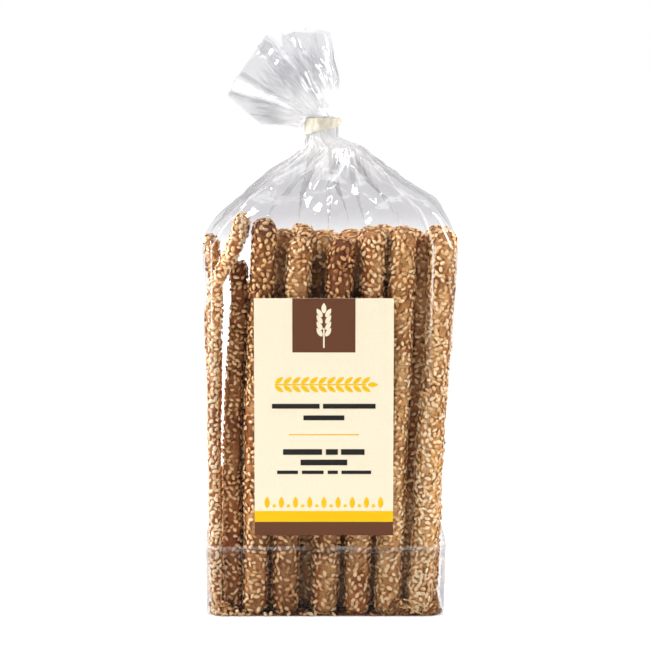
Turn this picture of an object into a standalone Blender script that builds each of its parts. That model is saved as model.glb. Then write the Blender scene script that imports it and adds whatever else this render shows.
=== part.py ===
"""A clear film bag packed with upright sesame grissini, tied at the neck, with a paper label.

The bag stands on its flat block bottom and its front faces -Y. Three pieces: the sealed bag,
which is one solid from its base to the mouth of its gathered tail, the band round its neck,
and the paper label stuck on its front. Metres, +Z up, origin in the middle of the base.
"""

import math

import bmesh
import bpy
from mathutils import Matrix

# Grissini, which set the size of everything else.
STICK_COUNT_ROUND = 22  # sticks that show round the outside of the bundle, 15 mm from one to the next
BUNDLE_TOP = 0.169  # where the bag leaves the ends of the outer sticks

# Bag body, round the bundle.
TOP_HALF_WIDTH = 0.0580
BASE_HALF_WIDTH = 0.0552
BASE_SHIFT = -0.0023  # the bundle leans: its base is this far to the left of its top
HALF_DEPTH = 0.0310
CORNER_RADIUS = 0.0130
BASE_CHAMFER = 0.0016
FLUTE_DEPTH = 0.0010  # how far the film sinks between two sticks

# Neck, band and tail.
SHOULDER_HEIGHT = 0.0475  # from the bundle's top to the neck
SHOULDER_BEND = 0.20  # share of the way in over which the film bends across the sticks' ends
SHOULDER_BEND_RISE = 0.25  # share of the shoulder's height that this bend takes up
NECK_X = -0.0030
NECK_HALF_WIDTH = 0.0078
NECK_HALF_DEPTH = 0.0062
NECK_HEIGHT = 0.0095
PLEAT_COUNT = 16
PLEAT_DEPTH = 0.0042  # at the middle of the shoulder
NECK_PLEAT_DEPTH = 0.0006  # pressed flat under the band
BAND_HEIGHT = 0.0072
BAND_THICKNESS = 0.0008
TAIL_LENGTH = 0.0385  # from the neck to the bag's mouth
TAIL_LEFT_ANGLE = math.radians(-99.0)  # the fan's left edge, from straight up
TAIL_RIGHT_ANGLE = math.radians(9.0)
TAIL_HALF_THICKNESS = 0.0120
LOW_CORNER_CUT = 0.0120  # the left lobe's lower corner is rounded off by this much
LOW_CORNER_SPAN = math.radians(24.0)
NOTCH_ANGLE = math.radians(-29.0)  # the valley that parts the tail's two lobes
NOTCH_DEPTH = 0.0125
NOTCH_HALF_ANGLE = math.radians(6.5)
TAIL_RIDGES = 9
TAIL_RIDGE_DEPTH = 0.0016

# Label, stuck on the front.
LABEL_WIDTH = 0.0625
LABEL_HEIGHT = 0.1080
LABEL_THICKNESS = 0.0004
LABEL_X = -0.0028
LABEL_BOTTOM = 0.0384
CLEARANCE = 0.0003  # between two pieces that touch

# How finely the loft is divided.
POINTS_ROUND = 112
SHOULDER_STEPS = 11
TAIL_STEPS = 8
BAND_STEPS = 56

# The bag sits this far back, so that bag and label together are centred on the origin.
BAG_Y = (CLEARANCE + LABEL_THICKNESS) / 2
NECK_Z = BUNDLE_TOP + SHOULDER_HEIGHT
COLLECTION = "grissini_bag"


def start_empty():
    """Removes what the scene holds and makes the collection for the pieces."""
    for item in list(bpy.data.objects):
        bpy.data.objects.remove(item)
    made = bpy.data.collections.new(COLLECTION)
    bpy.context.scene.collection.children.link(made)
    return made


def material(name, colour, roughness):
    made = bpy.data.materials.new(name)
    made.use_nodes = True
    shader = made.node_tree.nodes["Principled BSDF"]
    shader.inputs["Base Color"].default_value = (*colour, 1.0)
    shader.inputs["Roughness"].default_value = roughness
    shader.inputs["Metallic"].default_value = 0.0
    return made


def add_object(name, mesh, finish, collection, parent):
    piece = bpy.data.objects.new(name, mesh)
    mesh.materials.append(finish)
    collection.objects.link(piece)
    piece.parent = parent
    return piece


def rounded_rectangle(share, half_width, half_depth, radius):
    """The point this share of the way round from the middle of the right side, and its outward normal."""
    side, front = half_depth - radius, half_width - radius
    arc = math.pi / 2 * radius
    # Right side's upper half, then corner and side in turn, back to the right side's lower half.
    runs = [side, arc, 2 * front, arc, 2 * side, arc, 2 * front, arc, side]
    along = (share % 1.0) * sum(runs)
    corners = [(front, side), (-front, side), (-front, -side), (front, -side)]
    for index, run in enumerate(runs):
        if along <= run or index == len(runs) - 1:
            break
        along -= run
    turn = index // 2 * math.pi / 2
    normal = (math.cos(turn), math.sin(turn))
    if index % 2:
        angle = turn + along / radius
        normal = (math.cos(angle), math.sin(angle))
        corner = corners[index // 2]
        return (corner[0] + radius * normal[0], corner[1] + radius * normal[1]), normal
    starts = [
        (half_width, 0.0),
        (front, half_depth),
        (-half_width, side),
        (-front, -half_depth),
        (half_width, -side),
    ]
    start = starts[index // 2]
    tangent = (-normal[1], normal[0])
    return (start[0] + tangent[0] * along, start[1] + tangent[1] * along), normal


def smooth(value):
    value = min(1.0, max(0.0, value))
    return value * value * (3 - 2 * value)


def body_section(height, inset=0.0):
    """The bag round the bundle at one height: a rounded rectangle, fluted by the sticks behind it."""
    rise = height / BUNDLE_TOP
    half_width = BASE_HALF_WIDTH + (TOP_HALF_WIDTH - BASE_HALF_WIDTH) * rise - inset
    centre_x = BASE_SHIFT * (1 - rise)
    points = []
    for index in range(POINTS_ROUND):
        share = index / POINTS_ROUND
        (x, y), normal = rounded_rectangle(share, half_width, HALF_DEPTH - inset, CORNER_RADIUS)
        sink = FLUTE_DEPTH * (1 - math.cos(2 * math.pi * STICK_COUNT_ROUND * share)) / 2
        points.append((centre_x + x - sink * normal[0], BAG_Y + y - sink * normal[1], height))
    return points


def shoulder_section(step):
    """Between the bundle's top and the neck: the outline draws in, and gathers into pleats."""
    drawn_in = (step / SHOULDER_STEPS) ** 1.4
    # The film bends over the sticks' ends, then runs straight to the neck.
    bend = 1 - (1 - min(1.0, drawn_in / SHOULDER_BEND)) ** 2
    rise = SHOULDER_BEND_RISE * bend + (1 - SHOULDER_BEND_RISE) * drawn_in
    height = BUNDLE_TOP + SHOULDER_HEIGHT * rise
    pleat = PLEAT_DEPTH * math.sin(math.pi * drawn_in) * drawn_in + NECK_PLEAT_DEPTH * drawn_in
    points = []
    for index, (x, y, _) in enumerate(body_section(BUNDLE_TOP)):
        angle = 2 * math.pi * index / POINTS_ROUND
        neck = (NECK_X + NECK_HALF_WIDTH * math.cos(angle), BAG_Y + NECK_HALF_DEPTH * math.sin(angle))
        ripple = pleat * (math.cos(PLEAT_COUNT * angle + 2.0 * rise) - 1) / 2
        points.append((
            x + (neck[0] - x) * drawn_in + ripple * math.cos(angle),
            y + (neck[1] - y) * drawn_in + ripple * math.sin(angle),
            height,
        ))
    return points


def neck_section(height):
    points = []
    for index in range(POINTS_ROUND):
        angle = 2 * math.pi * index / POINTS_ROUND
        ripple = NECK_PLEAT_DEPTH * (math.cos(PLEAT_COUNT * angle + 2.0) - 1) / 2
        points.append((
            NECK_X + (NECK_HALF_WIDTH + ripple) * math.cos(angle),
            BAG_Y + (NECK_HALF_DEPTH + ripple) * math.sin(angle),
            height,
        ))
    return points


def tail_section(step):
    """Above the band the film fans out to the left, front and back layers side by side."""
    out = step / TAIL_STEPS
    middle = (TAIL_LEFT_ANGLE + TAIL_RIGHT_ANGLE) / 2
    half_fan = (TAIL_RIGHT_ANGLE - TAIL_LEFT_ANGLE) / 2
    points = []
    for index, (x, y, z) in enumerate(neck_section(NECK_Z + NECK_HEIGHT)):
        angle = 2 * math.pi * index / POINTS_ROUND
        lean = middle + half_fan * math.cos(angle)
        notch = NOTCH_DEPTH * math.exp(-((lean - NOTCH_ANGLE) / NOTCH_HALF_ANGLE) ** 2)
        low_corner = LOW_CORNER_CUT * smooth(1 - (lean - TAIL_LEFT_ANGLE) / LOW_CORNER_SPAN)
        reach = (TAIL_LENGTH - notch - low_corner) * out
        # The fan keeps some thickness right up to its two side edges.
        swell = (TAIL_HALF_THICKNESS - NECK_HALF_DEPTH) * smooth(out)
        side = math.copysign(abs(math.sin(angle)) ** 0.5, math.sin(angle))
        ridge = TAIL_RIDGE_DEPTH * math.sin(math.pi * out) * math.cos(TAIL_RIDGES * lean * 2)
        points.append((
            x + reach * math.sin(lean),
            y + (swell + ridge) * side,
            z + reach * math.cos(lean),
        ))
    return points


def bag_sections():
    sections = [body_section(0.0, BASE_CHAMFER), body_section(BASE_CHAMFER)]
    body_steps = 4
    sections += [body_section(BUNDLE_TOP * step / body_steps) for step in range(1, body_steps)]
    sections += [shoulder_section(step) for step in range(SHOULDER_STEPS)]
    sections += [neck_section(NECK_Z), neck_section(NECK_Z + NECK_HEIGHT)]
    sections += [tail_section(step) for step in range(1, TAIL_STEPS + 1)]
    return sections


def make_bag(finish, collection, parent):
    """The whole bag as one closed loft: flat base, body, shoulder, neck and the fanned tail's mouth."""
    shape = bmesh.new()
    rings = [[shape.verts.new(point) for point in section] for section in bag_sections()]
    for lower, upper in zip(rings, rings[1:]):
        for index in range(POINTS_ROUND):
            after = (index + 1) % POINTS_ROUND
            shape.faces.new((lower[index], lower[after], upper[after], upper[index]))
    shape.faces.new(list(reversed(rings[0])))
    # The mouth is closed by strips from the back layer to the front layer.
    mouth, half = rings[-1], POINTS_ROUND // 2
    shape.faces.new((mouth[0], mouth[1], mouth[-1]))
    for index in range(1, half - 1):
        shape.faces.new((mouth[index], mouth[index + 1], mouth[-index - 1], mouth[-index]))
    shape.faces.new((mouth[half - 1], mouth[half], mouth[half + 1]))
    bmesh.ops.recalc_face_normals(shape, faces=shape.faces)
    mesh = bpy.data.meshes.new("bag")
    shape.to_mesh(mesh)
    shape.free()
    mesh.shade_smooth()
    mesh.set_sharp_from_angle(angle=math.radians(40))
    return add_object("bag", mesh, finish, collection, parent)


def make_band(finish, collection, parent):
    """The flat band that ties the neck: its section turned by a Screw, then pressed oval like the neck."""
    inner = NECK_HALF_WIDTH + CLEARANCE
    outer = inner + BAND_THICKNESS
    low, high = -BAND_HEIGHT / 2, BAND_HEIGHT / 2
    shape = bmesh.new()
    corners = [shape.verts.new(point) for point in
               ((outer, 0, high), (outer, 0, low), (inner, 0, low), (inner, 0, high))]
    for index in range(4):
        shape.edges.new((corners[index], corners[(index + 1) % 4]))
    mesh = bpy.data.meshes.new("band")
    shape.to_mesh(mesh)
    shape.free()
    band = add_object("band", mesh, finish, collection, parent)
    turn = band.modifiers.new("turn", "SCREW")
    turn.steps = turn.render_steps = BAND_STEPS
    turn.use_merge_vertices = True
    turn.merge_threshold = 0.00005
    band.location = (NECK_X, BAG_Y, NECK_Z + NECK_HEIGHT / 2)
    band.scale = (1.0, (NECK_HALF_DEPTH + CLEARANCE) / inner, 1.0)
    return band


def make_label(finish, collection, parent):
    """The paper label, a flat sheet that spans the flutes of the bag's front."""
    front = BAG_Y - HALF_DEPTH - CLEARANCE - LABEL_THICKNESS / 2
    bpy.ops.mesh.primitive_cube_add(size=1.0)
    label = bpy.context.object
    label.name = label.data.name = "label"
    label.data.transform(Matrix.Diagonal((LABEL_WIDTH, LABEL_THICKNESS, LABEL_HEIGHT, 1.0)))
    label.location = (LABEL_X, front, LABEL_BOTTOM + LABEL_HEIGHT / 2)
    label.data.materials.append(finish)
    for holder in list(label.users_collection):
        holder.objects.unlink(label)
    collection.objects.link(label)
    label.parent = parent
    return label


def main():
    collection = start_empty()
    root = bpy.data.objects.new("grissini_bag_root", None)
    collection.objects.link(root)
    film = material("clear_film_over_sticks", (0.42, 0.24, 0.11), 0.35)
    paper = material("label_paper", (1.0, 0.92, 0.70), 0.6)
    tape = material("band_tape", (0.62, 0.59, 0.52), 0.5)
    make_bag(film, collection, root)
    make_band(tape, collection, root)
    make_label(paper, collection, root)


main()
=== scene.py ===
"""A clear bag of sesame grissini, tied at the neck, with a paper label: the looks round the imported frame."""

import math
import random

import bpy
import numpy as np
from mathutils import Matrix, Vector, kdtree, noise
from mathutils.bvhtree import BVHTree


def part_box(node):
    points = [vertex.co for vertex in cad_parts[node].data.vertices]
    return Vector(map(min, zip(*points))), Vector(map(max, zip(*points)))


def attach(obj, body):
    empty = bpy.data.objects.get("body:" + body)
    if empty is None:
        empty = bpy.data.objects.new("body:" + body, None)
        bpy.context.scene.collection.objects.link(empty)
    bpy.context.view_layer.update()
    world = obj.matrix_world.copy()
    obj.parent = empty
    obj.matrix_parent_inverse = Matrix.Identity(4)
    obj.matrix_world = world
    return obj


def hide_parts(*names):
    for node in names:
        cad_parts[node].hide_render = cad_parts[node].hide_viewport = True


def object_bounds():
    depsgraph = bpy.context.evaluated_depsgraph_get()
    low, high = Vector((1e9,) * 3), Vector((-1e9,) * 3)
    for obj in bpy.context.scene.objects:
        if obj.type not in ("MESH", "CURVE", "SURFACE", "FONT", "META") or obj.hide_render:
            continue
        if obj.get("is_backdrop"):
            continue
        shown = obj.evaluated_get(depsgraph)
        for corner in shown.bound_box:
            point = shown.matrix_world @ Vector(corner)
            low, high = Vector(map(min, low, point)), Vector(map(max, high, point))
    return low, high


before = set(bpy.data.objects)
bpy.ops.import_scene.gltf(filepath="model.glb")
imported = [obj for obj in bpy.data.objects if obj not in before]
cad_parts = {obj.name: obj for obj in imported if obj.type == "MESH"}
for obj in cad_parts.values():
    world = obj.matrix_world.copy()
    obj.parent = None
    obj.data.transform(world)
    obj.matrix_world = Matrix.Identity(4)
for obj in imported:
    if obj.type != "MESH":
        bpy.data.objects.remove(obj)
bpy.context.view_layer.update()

# ---------------------------------------------------------------------------------------------
# Breadsticks. Strands of wholegrain dough, rolled out by hand to finger thickness, turned in
# sesame and baked through until hard. They stand on end in five rows, no two quite straight, and
# the slimmest are down the left side. One strand is shaped, and each stick is a bent copy of it.
# ---------------------------------------------------------------------------------------------
MM = 0.001
STICK_SIDES = 24
STICK_CUTS = 39
STRAND_RADIUS = 5.5 * MM
STRAND_LENGTH = 176 * MM
END_ROUNDING = 4.0 * MM
STICK_FOOT = 0.7 * MM  # the sticks stand on the film, just above the base

# The sticks that show best, left to right: y, foot x, head x, head z, radius, bow to the right, in mm, how
# far the head is bent back from the film, how far the top is bent to the right, and how much thicker it is.
# First the front row, then the slim sticks down the left side and one in the gap near the right corner.
SEEN_BEST = (
    (-25.6, -51.9, -51.9, 183.0, 1.8, -0.3, 6.5, 12.6, 0.75),
    (-20.8, -44.4, -38.6, 161.5, 3.7, -2.8, 0.0, -2.2, -0.05),
    (-23.7, -34.2, -29.4, 180.5, 5.3, -0.9, 2.5, 0.0, 0.0),
    (-23.6, -20.4, -13.6, 172.0, 5.4, -0.4, 0.5, 0.0, 0.0),
    (-23.5, -3.2, 5.2, 171.5, 5.5, 0.5, 0.5, 0.0, 0.0),
    (-23.7, 11.0, 20.0, 176.5, 5.3, -0.5, 1.5, 0.0, 0.0),
    (-23.5, 25.1, 32.2, 177.0, 5.5, 1.7, 1.5, 0.0, 0.0),
    (-23.4, 40.4, 50.3, 175.5, 5.4, 1.0, 1.5, 0.0, 0.0),
    (-13.4, -52.0, -52.2, 173.0, 1.7, 0.3, 0.0, -1.9, 0.7),
    (-8.4, -50.0, -50.4, 66.0, 1.9, 0.0, 0.0, 0.0, 0.0),
    (-3.0, -53.4, -54.6, 139.5, 1.9, 0.0, 0.0, 0.0, -0.2),
    (3.4, -53.4, -53.8, 134.0, 1.8, 0.0, 0.0, 0.0, 0.1),
    (10.0, -53.4, -54.2, 137.0, 1.9, 0.0, 0.0, 0.0, 0.0),
    (16.6, -53.4, -54.0, 129.0, 1.8, 0.0, 0.0, 0.0, 0.1),
    (23.0, -52.8, -53.6, 136.0, 1.8, 0.0, 0.0, 0.0, 0.1),
    (-15.2, 34.2, 42.2, 173.0, 5.1, 0.0, 0.0, 0.0, 0.0),
)
# How dark the front row is at the foot and at the head, partly from baking and partly painted shade and light, and how
# thickly seeds cover it.
BAKE_AND_SHADE = ((-0.7, -0.5), (0.1, 0.7), (0.1, 0.9), (0.8, 0.2), (0.2, 1.4), (0.3, 0.2), (-0.1, 0.3), (-0.5, 0.1))
COVER = (1.9, 0.95, 0.95, 1.0, 1.1, 1.05, 1.05, 1.35)
USUAL_BAKE_AND_SHADE, USUAL_COVER = (0.2, 0.2), 1.1
# The rows behind: y of the row, then the x of each stick's head.
ROWS_BEHIND = (
    (-12.3, (-37.6, -20.8, -4.6, 12.2, 27.2)),
    (-0.8, (-37.5, -25.8, -12.2, 2.6, 17.6, 31.4, 50.6)),
    (11.8, (-35.6, -20.0, -5.6, 9.2, 24.2, 38.0, 51.0)),
    (24.0, (-38.8, -26.0, -13.4, -0.6, 12.2, 25.0, 37.8, 50.2)),
)
SHORT_COLUMN = (-39.0, -34.0)  # between these the sticks behind are short, so light shows over them
LEAN = 5.4  # mm that a foot is to the left of its head
BEND_START = 0.83  # a stick whose top is bent is straight up to this share of its length
rng = random.Random(41)


def deselect_all():
    bpy.ops.object.select_all(action="DESELECT")


def activate(piece):
    deselect_all()
    piece.select_set(True)
    bpy.context.view_layer.objects.active = piece


def select_edges(piece, wanted):
    """Selects, in edit mode, the edges whose two ends the test accepts."""
    bpy.ops.mesh.select_all(action="DESELECT")
    bpy.ops.object.mode_set(mode="OBJECT")
    corners = piece.data.vertices
    for edge in piece.data.edges:
        edge.select = wanted(*(corners[index].co for index in edge.vertices))
    bpy.ops.object.mode_set(mode="EDIT")


def make_strand():
    """A straight strand along Z: a cylinder cut across its length, its two ends rounded off."""
    deselect_all()
    bpy.ops.mesh.primitive_cylinder_add(
        vertices=STICK_SIDES, radius=STRAND_RADIUS, depth=STRAND_LENGTH, location=(0, 0, STRAND_LENGTH / 2))
    strand = bpy.context.object
    bpy.ops.object.transform_apply(location=True)
    bpy.ops.object.mode_set(mode="EDIT")
    bpy.ops.mesh.select_mode(type="EDGE")
    select_edges(strand, lambda one, other: abs(one.z - other.z) > STRAND_LENGTH / 2)
    bpy.ops.mesh.subdivide(number_cuts=STICK_CUTS)
    for end in (0, STRAND_LENGTH):
        select_edges(strand, lambda one, other: abs(one.z - end) + abs(other.z - end) < 0.1 * MM)
        bpy.ops.mesh.bevel(offset=END_ROUNDING, segments=5, clamp_overlap=False)
    bpy.ops.object.mode_set(mode="OBJECT")
    return strand


def stick_centre(stick, height):
    """Where a stick's middle is at this height."""
    share = height / stick["length"]
    foot, head = stick["foot"], stick["head"]
    bent = max(0.0, share - BEND_START) / (1 - BEND_START)
    bent = bent * bent * (3 - 2 * bent) * 0.3 + bent * (2 - bent) * 0.7
    sway = noise.noise(Vector((share * 2.6, stick["seed"], 0.5)))
    return Vector((
        foot.x + (head.x - foot.x) * share + stick["bow"] * math.sin(math.pi * share) + sway * 1.2 * MM
        + stick["top_right"] * bent,
        foot.y + (head.y - foot.y) * share + stick["back"] * max(0.0, share - 0.7) ** 2 * 11,
        foot.z + height,
    ))


def bend_strand(strand, name, stick):
    """A copy of the strand, made as long, thick, lumpy and crooked as this stick is."""
    made = strand.copy()
    made.data = strand.data.copy()
    made.name = made.data.name = name
    bpy.context.scene.collection.objects.link(made)
    stretch = stick["length"] / STRAND_LENGTH
    # The stick's tone from foot to head, partly how it baked and partly painted shade and light.
    foot_bake_and_shade, head_bake_and_shade = stick["bake_and_shade"]
    bake_and_shade = [foot_bake_and_shade + (head_bake_and_shade - foot_bake_and_shade) * corner.co.z / STRAND_LENGTH for corner in made.data.vertices]
    made.data.attributes.new("bake_and_shade", "FLOAT", "POINT").data.foreach_set("value", bake_and_shade)
    for corner in made.data.vertices:
        place = corner.co
        height = place.z * stretch
        lump = noise.noise(Vector((place.x * 90, place.y * 90, place.z * 60 + stick["seed"])))
        grain = noise.noise(Vector((place.x * 330, place.y * 330, place.z * 300 + stick["seed"])))
        thick = noise.noise(Vector((place.z * 22, stick["seed"] * 1.7, 3.0)))
        swell = 1 + stick["swell"] * min(1.0, max(0.0, (height / stick["length"] - 0.62) / 0.3))
        scale = stick["radius"] / STRAND_RADIUS * swell * (1 + 0.085 * thick + 0.11 * lump + 0.05 * grain)
        centre = stick_centre(stick, height)
        corner.co = centre + Vector((place.x * scale, place.y * scale, 0.18 * MM * grain))
    made.data.shade_smooth()
    return made


sticks = []
for y, foot_x, head_x, head_z, radius, bow, back, top_right, swell in SEEN_BEST:
    sticks.append({
        "foot": Vector((foot_x, y, 0)) * MM + Vector((0, 0, STICK_FOOT)),
        "head": Vector((head_x, y, 0)) * MM,
        "length": head_z * MM - STICK_FOOT,
        "radius": radius * MM,
        "bow": bow * MM,
        "back": back * MM,
        "top_right": top_right * MM,
        "swell": swell,
    })
for row_y, heads in ROWS_BEHIND:
    for head_x in heads:
        short = SHORT_COLUMN[0] < head_x < SHORT_COLUMN[1]
        sticks.append({
            "foot": Vector((head_x * 0.97 - LEAN + rng.uniform(-0.6, 0.6), row_y, 0)) * MM
            + Vector((0, 0, STICK_FOOT + rng.uniform(0, 1.0) * MM)),
            "head": Vector((head_x + rng.uniform(-0.5, 0.5), row_y + rng.uniform(-0.4, 0.4), 0)) * MM,
            "length": (rng.uniform(144, 149) if short else rng.uniform(169.0, 174.5) - 0.06 * row_y) * MM,
            "radius": rng.uniform(5.0, 5.4) * MM,
            "bow": rng.uniform(-0.9, 0.9) * MM,
            "back": 0.0,
            "top_right": 0.0,
            "swell": 0.0,
        })
strand = make_strand()
for index, stick in enumerate(sticks):
    stick["seed"] = 7.31 * index
    stick["bake_and_shade"] = BAKE_AND_SHADE[index] if index < len(BAKE_AND_SHADE) else USUAL_BAKE_AND_SHADE
    stick["cover"] = COVER[index] if index < len(COVER) else USUAL_COVER
    stick["piece"] = bend_strand(strand, f"breadstick_{index + 1:02d}", stick)
bpy.data.objects.remove(strand)


def linear(code):
    """An sRGB hex colour as linear RGBA."""
    parts = [int(code[start:start + 2], 16) / 255 for start in (1, 3, 5)]
    return (*(part / 12.92 if part <= 0.04045 else ((part + 0.055) / 1.055) ** 2.4 for part in parts), 1.0)


def new_material(name):
    """A material with only its output node, and its node tree."""
    made = bpy.data.materials.new(name)
    made.use_nodes = True
    made.node_tree.nodes.clear()
    return made, made.node_tree


def node(tree, kind, inputs=None, **settings):
    """Adds a node with its settings; an input that is another node's output is linked, others are set."""
    made = tree.nodes.new("ShaderNode" + kind)
    for name, value in settings.items():
        setattr(made, name, value)
    for name, value in (inputs or {}).items():
        if isinstance(value, bpy.types.NodeSocket):
            tree.links.new(value, made.inputs[name])
        else:
            made.inputs[name].default_value = value
    return made


def ramp(tree, factor, stops):
    """A colour ramp with these (position, hex colour) stops."""
    made = node(tree, "ValToRGB", {"Fac": factor})
    while len(made.color_ramp.elements) < len(stops):
        made.color_ramp.elements.new(0.5)
    for element, (position, code) in zip(made.color_ramp.elements, stops):
        element.position = position
        element.color = linear(code)
    return made.outputs["Color"]


# Baked wholegrain crust: matt and slightly floury, golden where the strand is thick and pale, browner
# in patches where it lay on the tray, with bran flecks and a fine cracked grain.
crust, tree = new_material("baked_wholegrain_crust")
coords = node(tree, "TexCoord").outputs["Object"]
patches = node(tree, "TexNoise", {"Vector": coords, "Scale": 75.0, "Detail": 4.0, "Roughness": 0.6}).outputs["Fac"]
flecks = node(tree, "TexNoise", {"Vector": coords, "Scale": 900.0, "Detail": 3.0, "Roughness": 0.7}).outputs["Fac"]
base = ramp(tree, patches, [(0.30, "#92643a"), (0.45, "#ca955e"), (0.59, "#e6b87e"), (0.74, "#f6d4a2")])
speckle = ramp(tree, flecks, [(0.34, "#8d6a4a"), (0.48, "#ffffff"), (1.0, "#ffffff")])
colour = node(tree, "MixRGB", {"Fac": 0.8, "Color1": base, "Color2": speckle}, blend_type="MULTIPLY").outputs["Color"]
# Each stick has baked a little differently: the pattern is as wide as a stick and as long as half of one.
along_sticks = node(tree, "Mapping", {"Vector": coords, "Scale": (60.0, 60.0, 12.0)}).outputs["Vector"]
batch = node(tree, "TexNoise", {"Vector": along_sticks, "Scale": 1.0, "Detail": 1.0}).outputs["Fac"]
bake = ramp(tree, batch, [(0.36, "#e2b290"), (0.47, "#fdf2e6"), (0.55, "#ffffff"), (0.66, "#fff4d2")])
colour = node(tree, "MixRGB", {"Fac": 1.0, "Color1": colour, "Color2": bake}, blend_type="MULTIPLY").outputs["Color"]
# Each stick's own tone from foot to head: partly how dark it baked, and partly painted shade and light. It is darker on
# sticks that stand in shade and paler on the brightly lit slim stick at the left.
bake_and_shade = node(tree, "Attribute", attribute_name="bake_and_shade").outputs["Fac"]
browning_and_shade = ramp(tree, bake_and_shade, [(0.0, "#ffffff"), (1.0, "#987260")])
colour = node(tree, "MixRGB", {"Fac": 1.0, "Color1": colour, "Color2": browning_and_shade}, blend_type="MULTIPLY").outputs["Color"]
grain = node(tree, "TexNoise", {"Vector": coords, "Scale": 1300.0, "Detail": 5.0, "Roughness": 0.65}).outputs["Fac"]
bump = node(tree, "Bump", {"Height": grain, "Strength": 0.55, "Distance": 0.0004}).outputs["Normal"]
surface = node(tree, "BsdfPrincipled", {"Base Color": colour, "Normal": bump, "Roughness": 0.72, "IOR": 1.45,
                                        "Specular IOR Level": 0.35})
node(tree, "OutputMaterial", {"Surface": surface.outputs["BSDF"]})
for stick in sticks:
    stick["piece"].data.materials.clear()
    stick["piece"].data.materials.append(crust)
    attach(stick["piece"], "root")

# ---------------------------------------------------------------------------------------------
# Sesame. Hulled seeds, 3 mm long, flat teardrops toasted in the oven. They stick to the dough in
# thick patches with bare crust between. One seed is shaped, and its copies are joined by side of
# the bundle, on the surfaces that can be seen.
# ---------------------------------------------------------------------------------------------
SEED_LENGTH = 2.9 * MM
SEED_WIDTH = 1.9 * MM
SEED_THICKNESS = 1.0 * MM
SEED_SPACING = 1.72 * MM
SEED_SUNK = 0.08 * MM
THICKLY = 1.4  # where seeds cover more than this they also lie closer
LOWEST, FRONT_LIMIT, BACK_LIMIT = 0.1 * MM, -30.4 * MM, 31.0 * MM  # what is inside the film stays within these
FACING_IN = -0.55  # and thick sticks have none on the sides turned this far from the film
SEEN_DEPTH = (8.0 * MM, 17.5 * MM)  # seeds thin out from the first depth under the film to the second
TRIES_PER_STICK = 3000
HALF_WIDTH, HALF_DEPTH, CORNER = 58.0 * MM, 31.0 * MM, 8.5 * MM
LEFT_SLACK = 6.0 * MM  # the slim sticks down the left side let one see this much deeper
TOP_SEEN = 13 * MM  # and all round each stick this far down from its head
# The column past the short one, by its heads' x in mm, is seen over it, so there they go further down.
PAST_SHORT, PAST_SHORT_SEEN = (-28.0, -18.0), 27 * MM


def make_seed():
    """One teardrop seed, lying flat along X: a low sphere, flattened and drawn to a point."""
    deselect_all()
    bpy.ops.mesh.primitive_uv_sphere_add(segments=6, ring_count=4, radius=0.5, rotation=(0, math.pi / 2, 0))
    seed = bpy.context.object
    bpy.ops.object.transform_apply(rotation=True)
    for corner in seed.data.vertices:
        along = corner.co.x + 0.5
        taper = 1.0 - 0.55 * max(0.0, along - 0.35) ** 1.2
        corner.co = Vector((corner.co.x * SEED_LENGTH, corner.co.y * SEED_WIDTH * taper, corner.co.z * SEED_THICKNESS * taper))
    shape = np.array([corner.co for corner in seed.data.vertices])
    faces = [list(face.vertices) for face in seed.data.polygons]
    bpy.data.objects.remove(seed)
    return shape, faces


def depth_under_film(place):
    """How far a point is inside the bag's outline, a rounded rectangle, and which way the film is from it."""
    half = HALF_WIDTH * (1 - 0.05 * (1 - place.z / (169 * MM)))
    x = place.x + 2.3 * MM * (1 - place.z / (169 * MM))
    x = abs(x) + (LEFT_SLACK if x < 0 else 0) - (half - CORNER)
    y = abs(place.y) - (HALF_DEPTH - CORNER)
    if x > 0 and y > 0:
        depth, out = CORNER - math.hypot(x, y), Vector((x, y, 0)).normalized()
    else:
        depth, out = CORNER - max(x, y), Vector((1, 0, 0)) if x > y else Vector((0, 1, 0))
    return depth, Vector((math.copysign(out.x, place.x), math.copysign(out.y, place.y), 0))


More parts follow.
